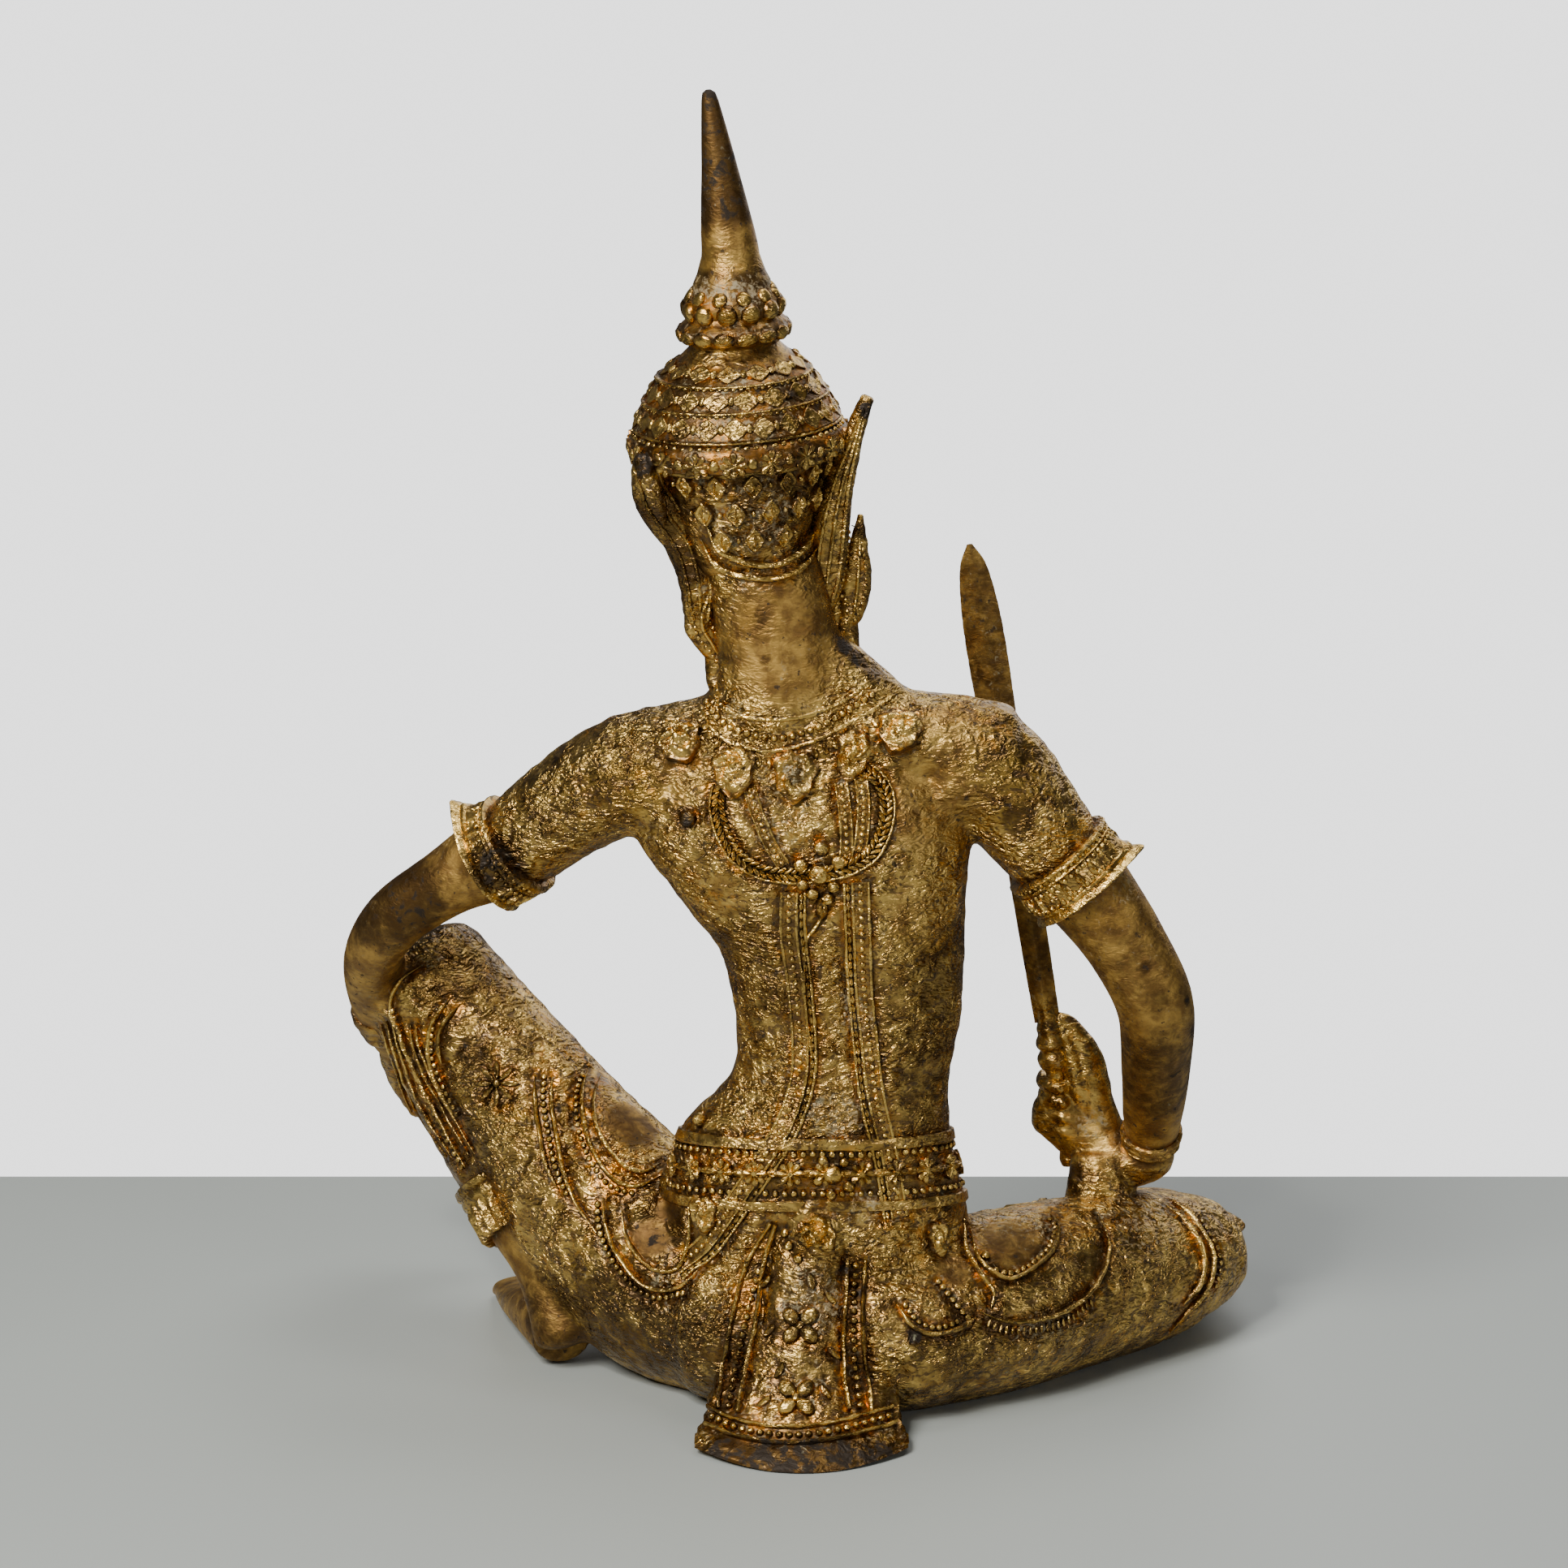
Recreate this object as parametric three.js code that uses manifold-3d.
// A seated temple guardian of South-East Asia, cast in bronze and gilt: legs in royal ease, the left arm over
// the raised left knee, a sword upright in the right hand, a tall pointed crown on the head, and a long tail
// of cloth behind. The figure is one casting. The sword is a second piece, held in the fist.
// Millimetres, +Z up, the figure looks along -Y, its left side is +X, and it sits on the plane z = 0.
import * as THREE from 'three';
import { mergeVertices } from 'three/addons/utils/BufferGeometryUtils.js';
import Module from 'manifold-3d';

const wasm = await Module();
wasm.setup();

const { sin, cos, PI, max, min, abs } = Math;
const V = (x, y, z) => new THREE.Vector3(x, y, z);
const SIDE = V(1, 0, 0);
const BACK = V(0, 1, 0);
const UP = V(0, 0, 1);

// Driving dimensions
const CROWN_HEIGHT = 191;              // from the middle of the crown's rim to the tip of its spire
const SPIRE_BEND = 0.04;               // how far the upper spire leans to the left for each mm of its height
const RIM_CENTRE = V(45.5, -8, 559);   // where the head's own frame sits
const HEAD_LEAN = 3.5;                 // degrees, towards the figure's left
const HEAD_TURN = 8;                   // degrees, towards the figure's left
const HEAD_BACK = 2;                   // degrees, the crown tips back
const SWORD_TIP = V(-86, -78, 482);
const SWORD_FOOT = V(-151, -96, 101);  // the lower end of the grip
const SWORD_GAP = 0.5;                 // between the grip and the fist
const BELT_SWAY = 0.02;                // the belt is higher behind, by this share of the torso's stations
const RELIEF = 3;                      // how far the plain strips of the dress stand proud

// Each limb is a list of stations: where its middle is, then its half width and its half depth
const TORSO = [[2, 5, 1, 64, 46], [1, 3, 18, 86, 62], [0, 0, 66, 90, 60], [1, 0, 112, 86, 52],
  [2, 1, 156, 76, 47], [-12, 3, 190, 60, 41], [-17, 3, 225, 61.5, 40], [-12, 2, 264, 70, 42],
  [-2, 1, 295, 84, 46], [10, -1, 334, 97, 48], [14, -3, 368, 91, 42], [15, -3, 394, 68, 35],
  [19, -3, 416, 42, 32]];
const SHOULDERS = [[110, -9, 368, 28, 29], [76, -6, 380, 28, 33], [12, -4, 393, 28, 34],
  [-66, -4, 389, 27, 33], [-100, -6, 379, 30, 32]];
const NAPE = [[8, -4, 438, 20, 24], [-16, -4, 423, 20, 23], [-46, -4, 396, 20, 22]];
const NECK = [[19, -3, 404, 40, 34], [23, -3, 436, 35, 33], [29, -6, 474, 34, 34], [36, -9, 500, 36, 38]];
const LEFT_ARM = [[84, -5, 362, 32, 31], [107, -8, 362, 32, 32], [142, -20, 340, 28, 29],
  [171, -30, 318, 27, 27], [190, -36, 306, 24, 25], [214, -42, 291, 20.5, 20],
  [245, -54, 266, 18.5, 18.5], [263, -82, 233, 17.5, 17], [264, -120, 195, 17, 16],
  [254, -150, 160, 13, 14]];
const RIGHT_ARM = [[-72, -4, 370, 33, 31], [-97, -6, 370, 34, 33], [-118, -8, 343, 32, 32],
  [-138, -8, 317, 28, 29], [-157, -7, 294, 25.5, 26], [-178, -5, 265, 22, 22],
  [-193.5, -7, 228, 21.5, 22], [-197, -35, 184, 20, 20], [-196.5, -62, 145, 17.5, 18],
  [-197, -78, 120, 14.5, 15]];
const LEFT_THIGH = [[44, -2, 50, 58, 58], [92, -32, 61, 62, 57], [140, -64, 100, 58, 51],
  [188, -96, 160, 46, 43], [235, -120, 214, 43, 40]];
const LEFT_CALF = [[232, -122, 203, 41, 38], [213, -110, 158, 36, 35], [197, -90, 122, 31, 32],
  [181, -66, 86, 25, 26], [167, -42, 56, 18.5, 20], [160, -28, 36, 15, 17]];
const RIGHT_THIGH = [[-40, 20, 46, 53, 64], [-95, -8, 46, 52, 58], [-140, -40, 45, 50, 55],
  [-190, -74, 44, 46, 50], [-232, -108, 41, 38, 42]];
const RIGHT_CALF = [[-238, -120, 38, 34, 36], [-196, -144, 35, 32, 34], [-152, -158, 28, 24, 30],
  [-110, -168, 22, 17, 24], [-52, -179, 20, 14, 16]];
const LEFT_FOOT = [[146, -20, 18, 18, 18], [150, -38, 21, 19, 20], [160, -72, 17, 19, 16],
  [168, -106, 11, 23, 10.5], [176, -140, 7, 20, 6]];
const RIGHT_FOOT = [[-56, -179, 22, 16, 20], [-36, -182, 20, 17, 19], [-8, -183, 16, 20, 15],
  [22, -180, 12, 23, 11], [52, -171, 8.3, 19, 7]];
const LAP_CLOTH = [[-96, -116, 20, 42, 20], [0, -108, 24, 60, 26], [96, -78, 14, 42, 18]];

/* Solids */

// A closed geometry skinned over rings of points, with a fan at each end
function skin(rings) {
  const sides = rings[0].length;
  const xyz = rings.flat().flatMap((p) => [p.x, p.y, p.z]);
  const index = [];
  for (let r = 0; r + 1 < rings.length; r++) {
    for (let s = 0; s < sides; s++) {
      const a = r * sides + s;
      const b = r * sides + (s + 1) % sides;
      index.push(a, b, b + sides, a, b + sides, a + sides);
    }
  }
  const last = (rings.length - 1) * sides;
  for (const [ring, start, first] of [[rings[0], 0, true], [rings.at(-1), last, false]]) {
    const middle = ring.reduce((sum, p) => sum.add(p), V(0, 0, 0)).divideScalar(sides);
    const hub = xyz.length / 3;
    xyz.push(middle.x, middle.y, middle.z);
    for (let s = 0; s < sides; s++) {
      const a = start + s;
      const b = start + (s + 1) % sides;
      index.push(...(first ? [hub, b, a] : [hub, a, b]));
    }
  }
  const geometry = new THREE.BufferGeometry();
  geometry.setAttribute('position', new THREE.Float32BufferAttribute(xyz, 3));
  geometry.setIndex(index);
  return geometry;
}

// A geometry as a manifold solid, its faces pointing outwards
function solid(geometry) {
  geometry.deleteAttribute('normal');
  geometry.deleteAttribute('uv');
  const merged = mergeVertices(geometry, 1e-4);
  const make = (triVerts) => new wasm.Manifold(new wasm.Mesh({
    numProp: 3, vertProperties: new Float32Array(merged.attributes.position.array), triVerts,
  }));
  const body = make(new Uint32Array(merged.index.array));
  return body.volume() > 0 ? body : make(new Uint32Array(merged.index.array).reverse());
}

const joined = (bodies) => bodies.reduce((sum, body) => sum.add(body));

const smooth = (points) => new THREE.CatmullRomCurve3(points, false, 'catmullrom', 0.5);

// A manifold solid as a geometry to show or to measure on
function geometryOf(body) {
  const { vertProperties, triVerts } = body.getMesh();
  const geometry = new THREE.BufferGeometry();
  geometry.setAttribute('position', new THREE.BufferAttribute(new Float32Array(vertProperties), 3));
  geometry.setIndex(new THREE.BufferAttribute(new Uint32Array(triVerts), 1));
  return geometry;
}

// A limb is a round form along a smooth line through its stations. `side` is the direction of its half width.
// A level limb keeps its sections flat, as the torso does
class Limb {
  constructor(stations, side = SIDE, level = false) {
    this.line = smooth(stations.map((s) => V(s[0], s[1], s[2])));
    this.size = smooth(stations.map((s) => V(s[3], s[4], 0)));
    this.side = side;
    this.level = level;
    this.last = stations.length - 1;
  }

  // The point and the outward normal at share t along the limb and at `turn` radians round it
  at(t, turn, lift = 0) {
    const along = this.level ? UP.clone() : this.line.getTangent(t).normalize();
    const across = this.side.clone().addScaledVector(along, -this.side.dot(along)).normalize();
    const other = along.clone().cross(across);
    const { x: a, y: b } = this.size.getPoint(t);
    const normal = across.clone().multiplyScalar(cos(turn) / a).addScaledVector(other, sin(turn) / b);
    normal.normalize();
    const point = this.line.getPoint(t).addScaledVector(across, a * cos(turn));
    point.addScaledVector(other, b * sin(turn));
    return { point: point.addScaledVector(normal, lift), normal, along };
  }

  // A ring of points round the limb. With a sway it lies aslant, further along the limb on its other side
  ring(t, sides, lift = 0, sway = 0) {
    return Array.from({ length: sides }, (_, s) => {
      const turn = 2 * PI * s / sides;
      return this.at(t + sway * sin(turn), turn, lift).point;
    });
  }

  // The whole limb with a ring at each station, its ends rounded off by `round` of their own width
  body(sides, round = 0.6) {
    const rings = Array.from({ length: this.last + 1 }, (_, i) => this.ring(i / this.last, sides));
    const domeRings = sides > 10 ? [[0.5, 0.86], [0.87, 0.5]] : [[0.7, 0.7]];
    const dome = (t, sign) => {
      const centre = this.line.getPoint(t);
      const along = this.line.getTangent(t).normalize();
      const reach = this.size.getPoint(t).x * round * sign;
      return domeRings.map(([out, shrink]) => this.ring(t, sides).map(
        (p) => p.sub(centre).multiplyScalar(shrink).add(centre).addScaledVector(along, reach * out)));
    };
    return solid(skin([...dome(0, -1).reverse(), ...rings, ...dome(1, 1)]));
  }

  // A raised band between shares t0 and t1 whose lift runs through `profile`, pairs of share and lift
  band(t0, t1, sides, profile, sway = 0) {
    const rings = [[0, -2], ...profile, [1, -2]];
    return solid(skin(rings.map(([share, lift]) => this.ring(t0 + (t1 - t0) * share, sides, lift, sway))));
  }
}

/* Body */

const torso = new Limb(TORSO, SIDE, true);
const shoulders = new Limb(SHOULDERS, UP);
const nape = new Limb(NAPE, UP);
const neck = new Limb(NECK);
const leftArm = new Limb(LEFT_ARM, BACK);
const rightArm = new Limb(RIGHT_ARM, BACK);
const leftThigh = new Limb(LEFT_THIGH, UP);
const leftCalf = new Limb(LEFT_CALF, BACK);
const rightThigh = new Limb(RIGHT_THIGH, UP);
const rightCalf = new Limb(RIGHT_CALF, UP);
const leftFoot = new Limb(LEFT_FOOT, SIDE);
const rightFoot = new Limb(RIGHT_FOOT, BACK);

// A ring of points over a row of rounded lobes, as knuckles or toes are, closed by points under it. `place`
// gives the point at a share across and a height
function lobes(count, high, low, under, place) {
  const over = Array.from({ length: 2 * count + 1 }, (_, k) => place(k / count - 1, k % 2 ? high : low));
  return [...over, place(0.8, under), place(-0.8, under)];
}

// Five toes side by side, the big toe longest. `inner` is the side of the foot that the big toe is on
function toes(foot, inner) {
  const end = foot.line.getPoint(1);
  const along = foot.line.getTangent(1).setZ(0).normalize();
  const across = V(-along.y, along.x, 0).multiplyScalar(inner * 18);
  const rows = [[-17, 13, 10], [0, 11.5, 6.5], [9, 7, 3.5]];
  return solid(skin(rows.map(([ahead, high, low]) => lobes(5, high, low, 0.3, (u, z) => end.clone()
    .addScaledVector(across, u).addScaledVector(along, ahead - 5 * u - 5).setZ(z)))));
}

// The left hand hangs over the shin, its fingers long and side by side
function leftHand() {
  const wide = V(0.35, 0.9, 0.25);
  const palm = new Limb([[252, -150, 162, 13, 12], [246, -166, 138, 9.5, 17], [234, -173, 108, 7, 17]], wide);
  const thumb = new Limb([[252, -160, 144, 5, 5], [258, -172, 128, 4.5, 4.5], [254, -178, 106, 3.6, 3.6]]);
  const drop = [[0, 112, 0], [-3, 92, -4], [-8, 68, 0]];
  const fingers = solid(skin(drop.map(([x, z, y]) => lobes(4, 5, 3, -4,
    (u, lift) => V(232 + x + 17 * u, y - 172 - lift, z)))));
  return joined([palm.body(7, 0.5), thumb.body(4, 0.9), fingers]);
}

// The right hand bends back at the wrist and closes round the grip, with the thumb up along it. The lump of
// metal under it stands on the thigh
function rightHand() {
  const palm = new Limb([[-198, -80, 116, 15, 14], [-186, -90, 111, 17, 15], [-166, -95, 121, 19, 13],
    [-146, -97, 135, 20, 12]], UP);
  const lump = new Limb([[-168, -70, 76, 24, 15], [-168, -82, 110, 18, 13]], SIDE);
  const thumb = new Limb([[-178, -89, 112, 10, 11], [-164, -91, 158, 7, 10], [-148, -94, 193, 3, 4]], BACK);
  // The four fingers go round the grip together: where their middle is and how high they rise
  const curl = [[-168, -103, -4], [-150, -111, 0], [-137, -103, 3], [-141, -88, 3]];
  const fingers = solid(skin(curl.map(([x, y, rise]) => {
    const out = V(x + 151, y + 94, 0).normalize();
    const middle = V(x, y, 136 + rise);
    return lobes(4, 5.5, 2.5, -5, (u, lift) => middle.clone().add(V(3 * u, 0, 18 * u))
      .addScaledVector(out, lift));
  })));
  return joined([palm.body(8, 0.6), lump.body(6, 0.2), thumb.body(5, 0.8), fingers]);
}

/* Head and crown, in a frame of their own with its origin at the middle of the crown's rim */

const headFrame = new THREE.Matrix4().makeTranslation(RIM_CENTRE.x, RIM_CENTRE.y, RIM_CENTRE.z)
  .multiply(new THREE.Matrix4().makeRotationY(THREE.MathUtils.degToRad(HEAD_LEAN)))
  .multiply(new THREE.Matrix4().makeRotationX(THREE.MathUtils.degToRad(-HEAD_BACK)))
  .multiply(new THREE.Matrix4().makeRotationZ(THREE.MathUtils.degToRad(HEAD_TURN)));
const headPiece = (geometry) => solid(geometry.applyMatrix4(headFrame));

// The skull and face by level: height, middle, half width and half depth
const SKULL = [[-97, -27, 9, 9], [-92, -25, 17, 17], [-84, -17, 25, 28], [-72, -8, 34, 42],
  [-52, -4, 40, 47], [-28, -2, 45, 51], [-8, 0, 50, 53], [8, 0, 48, 50]];

function skull() {
  const sides = 12;
  return headPiece(skin(SKULL.map(([z, y, a, b]) => Array.from({ length: sides }, (_, s) => {
    const turn = 2 * PI * s / sides;
    return V(a * cos(turn), y + b * sin(turn), z);
  }))));
}

// Calm, plain features: brows, lowered lids, a straight nose and closed lips
function face() {
  const form = (x, y, z, a, b, c, turn = 0) => {
    const place = new THREE.Matrix4().makeTranslation(x, y, z)
      .multiply(new THREE.Matrix4().makeRotationY(turn)).multiply(new THREE.Matrix4().makeScale(a, b, c));
    return headPiece(new THREE.SphereGeometry(1, 6, 4).applyMatrix4(place));
  };
  const across = (y, z, half, depth) => [[-half, 0], [half, 0], [half / 2, depth], [-half / 2, depth]]
    .map(([x, forward]) => V(x, y - forward, z));
  const nose = headPiece(skin([across(-46, -22, 3, 6), across(-43, -40, 4, 12), across(-40, -55, 8, 19),
    across(-40, -59, 6, 14)]));
  const sides = [-1, 1].flatMap((s) => [
    form(s * 19, -45.5, -36, 10.5, 6, 4.6, s * 0.08), form(s * 19, -47, -27, 13, 4, 1.8, s * 0.12),
  ]);
  return joined([nose, ...sides, form(0, -45, -68, 10.5, 5.5, 2.6), form(0, -43.5, -73, 8, 5, 2.8)]);
}

// The crown's outline from under the rim to the tip: radius and height
const CROWN = [[50, -12], [59, -8], [60.5, 2], [56, 8], [57, 13], [53, 21], [51.5, 25], [46, 33.5],
  [43, 36], [42, 39.5], [34.5, 44.5], [26, 50], [26, 53], [31.5, 57], [31, 63], [25.5, 69], [26.5, 75],
  [20.5, 86], [15.2, 100], [11.2, 131], [7.5, 161], [3.2, 187], [1.6, CROWN_HEIGHT]];

// The crown is round, with a tier of small leaves over the ring and a spire that leans a little
function crown() {
  const sides = 14;
  return headPiece(skin(CROWN.map(([r, z]) => Array.from({ length: sides }, (_, s) => {
    const turn = 2 * PI * s / sides;
    const leaves = z > 70 && z < 90 ? 1.4 * cos(sides / 2 * turn) : 0;
    const bend = SPIRE_BEND * max(0, z - 95);
    return V((r + leaves) * cos(turn) + bend, (r + leaves) * sin(turn), z);
  }))));
}

// A leaf-shaped plate along a line, widest at share `fullAt`, facing the given way
function leaf(points, width, thick, facing, fullAt, steps = 4) {
  const line = new THREE.CatmullRomCurve3(points);
  return headPiece(skin(Array.from({ length: steps + 1 }, (_, i) => {
    const t = i / steps;
    const along = line.getTangent(t).normalize();
    const wide = facing.clone().cross(along).normalize();
    const out = along.clone().cross(wide);
    const past = (t - fullAt) / (1.05 - fullAt);
    const swell = past < 0 ? sin(PI / 2 * (0.4 + 0.6 * t / fullAt)) : cos(PI / 2 * past);
    const half = width / 2 * swell;
    const deep = thick / 2 * (0.3 + 0.7 * swell);
    return [[-half, 0], [0, -deep], [half, 0], [0, deep]].map(([u, v]) => line.getPoint(t)
      .addScaledVector(wide, u).addScaledVector(out, v));
  })));
}

// The crown's wings stand behind the ears. Under each hangs a leaf pendant on a strand to the shoulder
function wings() {
  const ear = (s) => leaf([V(s * 35, -6, -80), V(s * 40, -6, -60), V(s * 44, -8, -38), V(s * 46, -10, -24)],
    17, 10, V(s, 0.1, 0), 0.5);
  return joined([
    leaf([V(27, 5, -94), V(28, 7, -74), V(35, 9, -52), V(49, 11, -26), V(54, 15, 1)],
      27, 9, V(0.35, 0.94, 0), 0.62),
    leaf([V(-37, 12, -112), V(-42, 14, -84), V(-46, 17, -58), V(-54, 20, -24), V(-61, 22, 0), V(-68, 25, 19)],
      20, 9, V(-0.35, 0.94, 0), 0.45),
    leaf([V(14, 6, -134), V(25, 4, -112), V(29, 3, -98), V(24, 3, -80)], 22, 10, V(0.3, 0.95, 0), 0.4),
    leaf([V(-53, 11, -116), V(-58, 11, -95), V(-61, 11, -75), V(-64, 11, -51)], 18, 9, V(-0.6, 0.8, 0), 0.4),
    leaf([V(8, 6, -150), V(12, 5, -140), V(18, 4, -124)], 12, 10, BACK, 0.3, 3),
    leaf([V(-50, 8, -132), V(-50, 9, -120), V(-53, 10, -108)], 12, 10, BACK, 0.3, 3),
    ear(1), ear(-1),
  ]);
}

/* Places on the body, found by a straight line from outside */

const plainBody = joined([
  torso.body(14, 0.1), shoulders.body(8, 0.3), nape.body(6, 0.3), neck.body(9, 0.1), leftArm.body(8),
  rightArm.body(8), leftThigh.body(12, 0.5), leftCalf.body(10, 0.5), rightThigh.body(12, 0.5),
  rightCalf.body(9, 0.5),
]);
const bodyMesh = new THREE.Mesh(geometryOf(plainBody));

// The place on the body that is seen at `aim` by someone far off in the direction `from`
function seen(aim, from = BACK) {
  const far = aim.clone().addScaledVector(from, 500);
  const [hit] = new THREE.Raycaster(far, from.clone().negate().normalize()).intersectObject(bodyMesh);
  return hit && { point: hit.point, normal: hit.face.normal.clone() };
}

// Places along a smooth line through points of x and z, as seen from behind
function course(points, steps, from = BACK) {
  const line = smooth(points.map(([x, z]) => V(x, 0, z)));
  return Array.from({ length: steps + 1 }, (_, i) => seen(line.getPoint(i / steps), from)).filter(Boolean);
}

/* Ornament */

// A raised strip along places on a surface, each a point and a normal. Its section is a list of pairs: share
// of the half width, and height
const RIDGE = [[-1, -2.5], [1, -2.5], [0, RELIEF * 1.2]];
const TWO_RIDGES = [[-1, -3], [1, -3], [0.75, RELIEF], [0, 1], [-0.75, RELIEF]];
function strip(places, width = 6, section = RIDGE, closed = false) {
  const count = places.length;
  const rings = places.map(({ point, normal }, i) => {
    const before = places[closed ? (i + count - 1) % count : max(i - 1, 0)];
    const after = places[closed ? (i + 1) % count : min(i + 1, count - 1)];
    const out = normal.clone().add(before.normal).add(after.normal).normalize();
    const across = after.point.clone().sub(before.point).cross(out).normalize();
    const corner = (u, h) => point.clone().addScaledVector(across, u * width / 2).addScaledVector(out, h);
    return section.map(([u, h]) => corner(u, h));
  });
  if (!closed) return solid(skin(rings));
  const half = Math.floor(count / 2);
  return solid(skin(rings.slice(0, half + 2))).add(solid(skin([...rings.slice(half), ...rings.slice(0, 2)])));
}

// A low dome on a surface, `long` times as tall as it is wide. `notch` pulls in every second corner
function boss({ point, normal }, radius, height, sides = 6, long = 1, notch = 1) {
  const tall = UP.clone().addScaledVector(normal, -UP.dot(normal)).normalize();
  const wide = tall.clone().cross(normal);
  const ring = (share, h) => Array.from({ length: sides }, (_, s) => {
    const turn = 2 * PI * (s + 0.5) / sides;
    const reach = radius * (s % 2 ? share * notch : share);
    const across = reach * cos(turn);
    const up = reach * long * sin(turn);
    return point.clone().addScaledVector(wide, across).addScaledVector(tall, up).addScaledVector(normal, h);
  });
  return solid(skin([ring(1, -3), ring(0.6, height)]));
}

// A flower is a flat star with eight petals
const rosette = (place) => boss(place, 14, 3, 16, 1, 0.5);

// An armlet opens downwards like a bell, with a flame-shaped point on its outer side
function armlet(limb, t0, t1, turn) {
  const bell = limb.band(t0, t1, 10, [[0, 4], [0.2, 3], [0.75, 2.5], [1, 6.5]]);
  const foot = [-0.55, 0.55].map((off) => limb.at(t0 + (t1 - t0) * 0.75, turn + off, 0).point);
  const low = limb.at(t1, turn, -3).point;
  const high = limb.at(t0, turn, 0).point;
  const out = limb.at(t1, turn, 19);
  const peak = out.point.addScaledVector(out.along, 4);
  const base = [high, foot[0], low, foot[1]];
  return bell.add(solid(skin([base, base.map((p) => p.clone().lerp(peak, 0.88))])));
}

// The belt has a ridge along each edge. It starts and ends at these shares of the torso
const BELT = [3.1 / 12, 4.05 / 12];
function belt() {
  return torso.band(BELT[0], BELT[1], 14, [[0, 5], [0.2, 3], [0.8, 3], [1, 4.5]], BELT_SWAY);
}

// Places round the foot of the neck, `lower` down the shoulders behind and `front` down the chest
function necklace(radius, behind, front, steps) {
  return Array.from({ length: steps }, (_, i) => {
    const turn = 2 * PI * i / steps;
    const drop = sin(turn) > 0 ? behind : front;
    const aim = V(19 + radius * cos(turn), -3 + radius * 0.5 * sin(turn), 404 - drop * abs(sin(turn)));
    return seen(aim, V(cos(turn) * 0.8, sin(turn), 0.55).normalize());
  });
}

// A collar round the neck, leaf medallions under it, a looped chain with pendants, and two bands down the
// spine that part over the belt
function jewels() {
  const medallions = [[75, 393], [46, 380], [11, 378], [-16, 391], [-43, 405]];
  const chest = [[60, 372], [36, 358], [8, 354], [-20, 364]];
  const loop = course([[43, 376], [50, 345], [38, 322], [12, 314], [-16, 322], [-36, 345], [-37, 392]], 12);
  const band = (s) => course([[s * 21 - 2, 300], [s * 19 - 6, 230], [s * 19 - 7, 190], [s * 40 - 2, 132]], 6);
  return joined([
    strip(necklace(46, 14, 20, 18), 18, TWO_RIDGES, true),
    ...medallions.map(([x, z], i) => boss(seen(V(x, 0, z)), i % 2 ? 10 : 11.5, 6.5, 6, 1.15)),
    ...chest.map(([x, z]) => boss(seen(V(x, 0, z), BACK.clone().negate()), 10, 6, 6, 1.2)),
    strip(loop), boss(seen(V(0, 0, 309)), 7, 7, 6), boss(seen(V(-2, 0, 296)), 7, 5.5, 6, 1.6),
    strip(band(1), 7), strip(band(-1), 7),
  ]);
}

// The tail of cloth behind: height, how far back its middle stands, its half width and how far it hangs to
// the left of the middle
const TAIL = [[132, 52, 30, 2], [96, 64, 34, 5], [66, 76, 41, 7], [36, 92, 48, 8], [16, 110, 52, 9],
  [5, 124, 55, 10], [0, 131, 57, 10]];
const TAIL_BOW = 32;     // how far its middle stands behind its edges
const TAIL_CORNER = 7;   // its lower corners stand this far off the ground
// The relief across the tail, from the middle to an edge, and down it: pairs of share and lift
const TAIL_ACROSS = [[0, 0], [0.3, 0], [0.54, 0], [0.6, 3], [0.66, 0], [0.84, 0], [0.92, 3.5], [1, 2]];
const TAIL_DOWN = [[0, 0], [0.24, 0], [0.48, 0], [0.7, 0], [0.75, 3], [0.8, 0], [0.86, 3], [0.91, 1], [1, 4]];

function tailPlace(share, u, lift = 0) {
  const rows = smooth(TAIL.map(([z, y, w]) => V(w, y, z)));
  const middle = smooth(TAIL.map((row) => V(row[3], 0, 0)));
  const { x: half, y, z } = rows.getPoint(share);
  const slope = rows.getTangent(share);
  const normal = V(0.6 * u, -slope.z, slope.y).normalize();
  const rise = TAIL_CORNER * u * u * max(0, share * 2 - 1);
  const point = V(middle.getPoint(share).x + half * u, y - TAIL_BOW * u * u, z + rise);
  return { point: point.addScaledVector(normal, lift), normal };
}

function tail() {
  const across = [...TAIL_ACROSS.slice(1).reverse().map(([u, lift]) => [-u, lift]), ...TAIL_ACROSS];
  const rings = TAIL_DOWN.map(([share, down]) => {
    const outer = across.map(([u, lift]) => tailPlace(share, u, share < 0.75 ? lift : down).point);
    const thick = V(0, share < 0.5 ? 28 : 13, 0);
    const inner = [1, 0.5, 0, -0.5, -1].map((u) => tailPlace(share, u).point.sub(thick));
    return [...outer, ...inner].map((p) => p.setZ(max(p.z, 0.2)));
  });
  return joined([solid(skin(rings)), boss(tailPlace(0.07, 0), 12, 8, 7, 1.15), rosette(tailPlace(0.34, 0)),
    rosette(tailPlace(0.54, 0.1))]);
}

// Drapes over the hips, bands and hems of the trousers, and the flowers on the thighs
function dress() {
  const hem = [[0, 4.5], [0.3, 2.5], [1, 3]];
  const lines = [
    [[108, 180], [122, 142], [108, 115], [78, 96], [58, 118]],
    [[132, 170], [140, 135], [118, 98], [80, 68], [46, 74]],
    [[-84, 110], [-92, 80], [-112, 50], [-140, 40]], [[-104, 82], [-120, 74], [-138, 76], [-150, 84]],
    [[-215, 76], [-234, 62], [-238, 30]], [[205, 225], [220, 190], [214, 150], [196, 118]],
  ];
  return joined([
    ...lines.map((points) => strip(course(points, 4))), leftCalf.band(0.54, 0.68, 9, hem),
    rosette(seen(V(184, 0, 172))), boss(seen(V(62, 0, 124)), 12, 6, 6, 1.2),
    boss(seen(V(-52, 0, 124)), 10, 5, 6, 1.2),
  ]);
}

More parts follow.
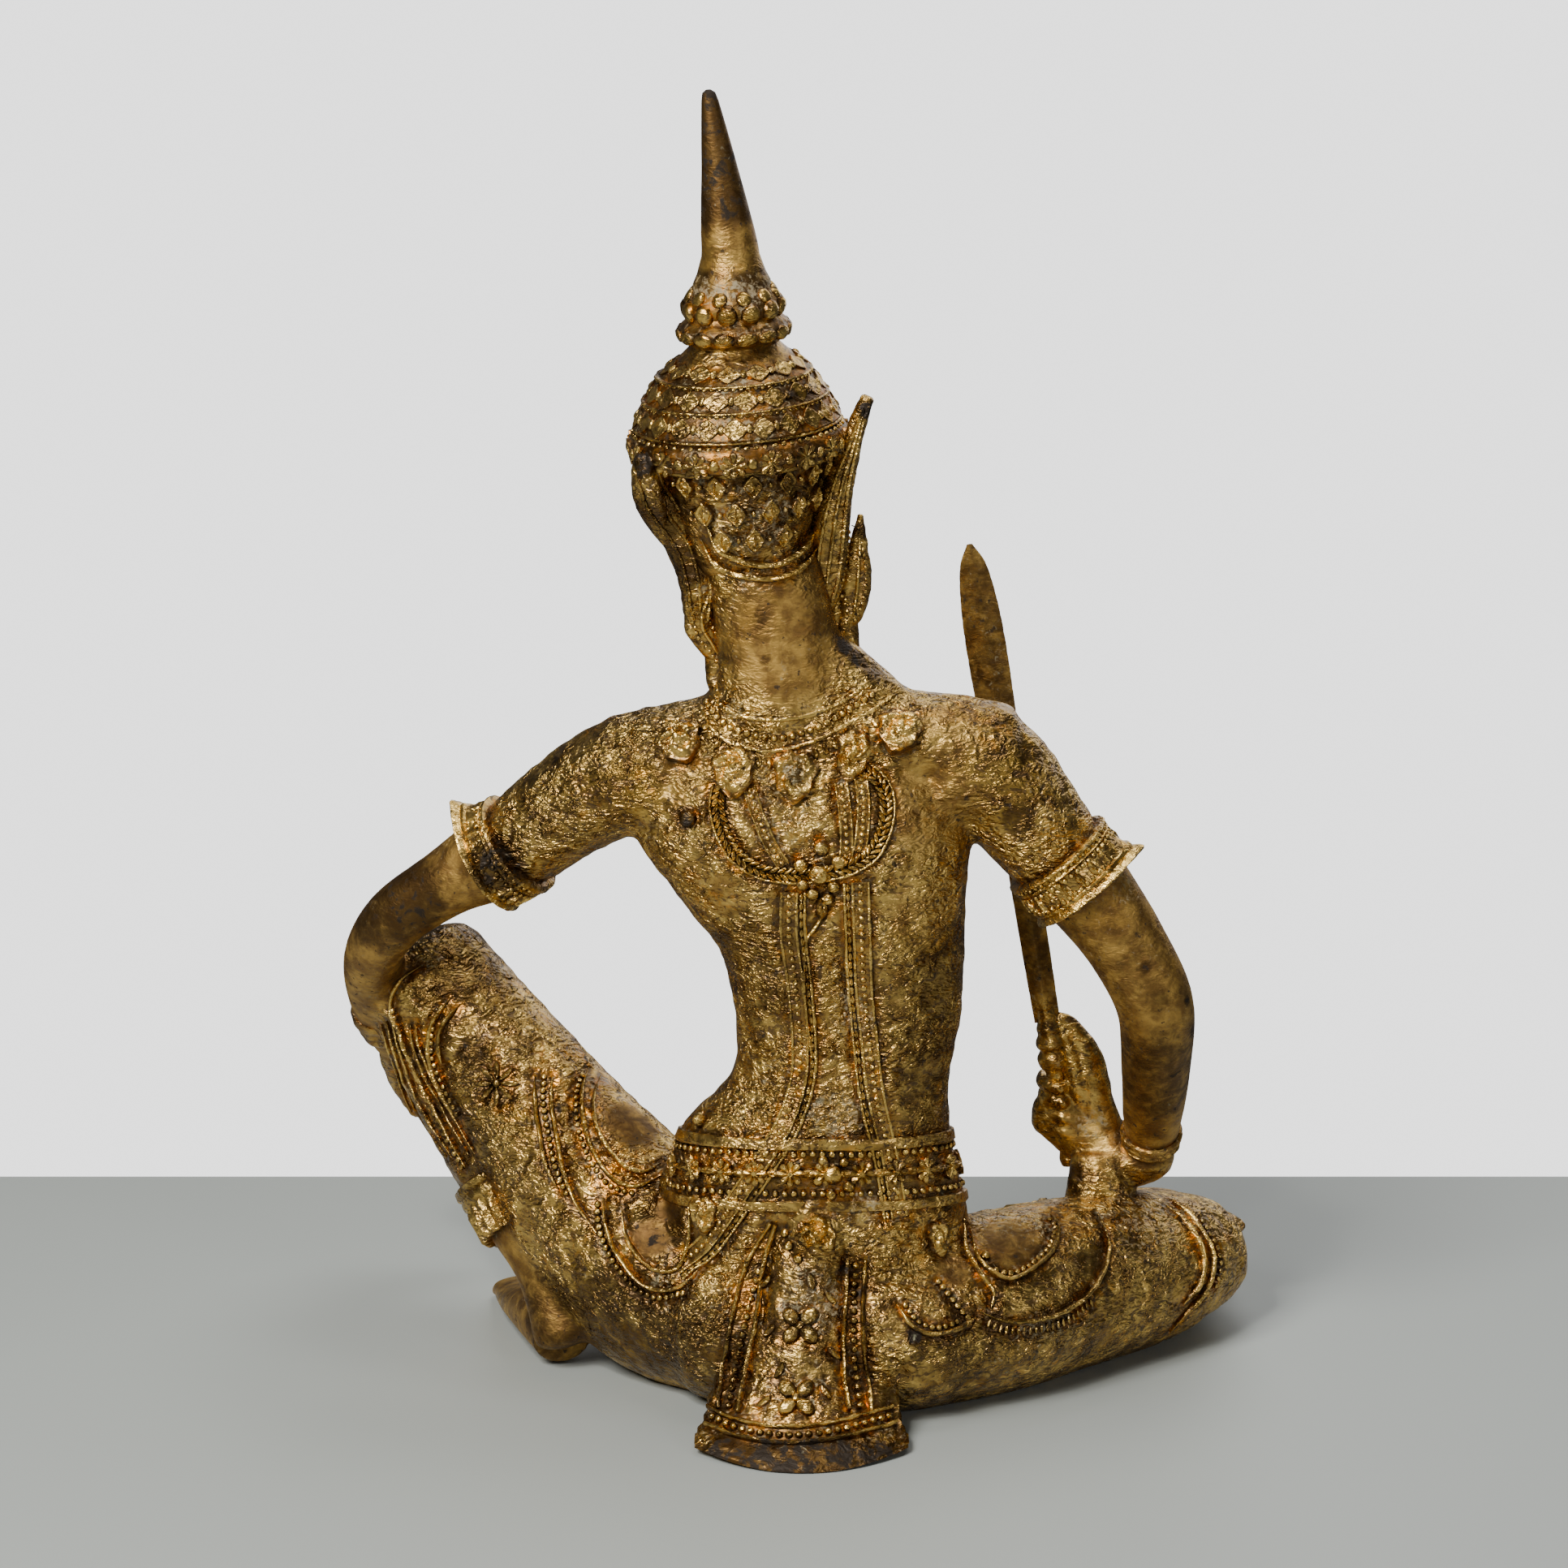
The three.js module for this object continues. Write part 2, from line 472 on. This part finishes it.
// The front panel of cloth hangs from the belt over the lap and the crossed ankle
function frontPanel() {
  const line = new THREE.CatmullRomCurve3([V(0, -46, 128), V(0, -62, 104), V(-2, -104, 62), V(-6, -150, 54),
    V(-10, -194, 44), V(-12, -211, 24), V(-12, -218, 3)]);
  const steps = 8;
  return solid(skin(Array.from({ length: steps + 1 }, (_, i) => {
    const t = i / steps;
    const out = SIDE.clone().cross(line.getTangent(t)).normalize().negate();
    const half = 22 + 10 * t;
    const thick = t > 0.2 && t < 0.8 ? 12 : 6;
    return [[-1, -thick], [1, -thick], [1, 1], [0.5, 3.5], [-0.5, 3.5], [-1, 1]].map(([u, h]) => {
      const p = line.getPoint(t).addScaledVector(out, h);
      return V(p.x + u * half, p.y, max(p.z, 0.3));
    });
  })));
}

/* The sword: a leaf-shaped blade with a ridge, a ringed guard and a grip */

const swordLine = SWORD_TIP.clone().sub(SWORD_FOOT);
const swordLength = swordLine.length();

function swordSolid(grow = 0) {
  const up = swordLine.clone().normalize();
  const wide = SIDE.clone().addScaledVector(up, -up.x).normalize();
  const thick = wide.clone().cross(up);
  // Height above the foot, half width, half thickness
  const blade = [[92, 6.6, 3.4], [130, 6.8, 3.4], [175, 7.4, 3.2], [230, 8.8, 3], [285, 10.6, 2.7],
    [325, 10.9, 2.4], [352, 9.6, 2], [372, 6, 1.4], [swordLength, 0.8, 0.6]];
  const grip = [[0, 6], [58, 6.2], [64, 8.5], [69, 9.6], [74, 7.6], [79, 9], [84, 7.4], [90, 6.6], [100, 5]];
  const around = (h, a, b, sides) => Array.from({ length: sides }, (_, s) => {
    const turn = 2 * PI * s / sides;
    return SWORD_FOOT.clone().addScaledVector(up, h).addScaledVector(wide, (a + grow) * cos(turn))
      .addScaledVector(thick, (b + grow) * sin(turn));
  });
  return solid(skin(blade.map(([h, a, b]) => around(h, a, b, 4))))
    .add(solid(skin(grip.map(([h, r]) => around(h, r, r, 10)))));
}

/* The two pieces */

const ground = solid(new THREE.BoxGeometry(900, 900, 200).translate(0, 0, -100));
const casting = joined([
  plainBody, new Limb(LAP_CLOTH, BACK).body(8, 0.4), leftFoot.body(10, 0.8), rightFoot.body(10, 0.8),
  toes(leftFoot, -1), toes(rightFoot, -1), leftHand(), rightHand(), skull(), face(), crown(), wings(),
  armlet(leftArm, 0.33, 0.44, 1.6), armlet(rightArm, 0.32, 0.42, -1.4), belt(), jewels(), tail(), dress(),
  frontPanel(),
]).subtract(ground).subtract(swordSolid(SWORD_GAP));
// The joins can leave a tiny closed pocket inside, so only the outer body is kept
const [figureSolid] = casting.decompose().sort((a, b) => b.volume() - a.volume());

function piece(name, body, color, roughness) {
  const material = new THREE.MeshStandardMaterial({ color, roughness, metalness: 1 });
  const mesh = new THREE.Mesh(geometryOf(body), material);
  mesh.name = name;
  return mesh;
}

const statue = new THREE.Group();
statue.add(piece('figure', figureSolid, 0x9c7434, 0.42));
statue.add(piece('sword', swordSolid(), 0x5a4b2c, 0.5));

export default statue;
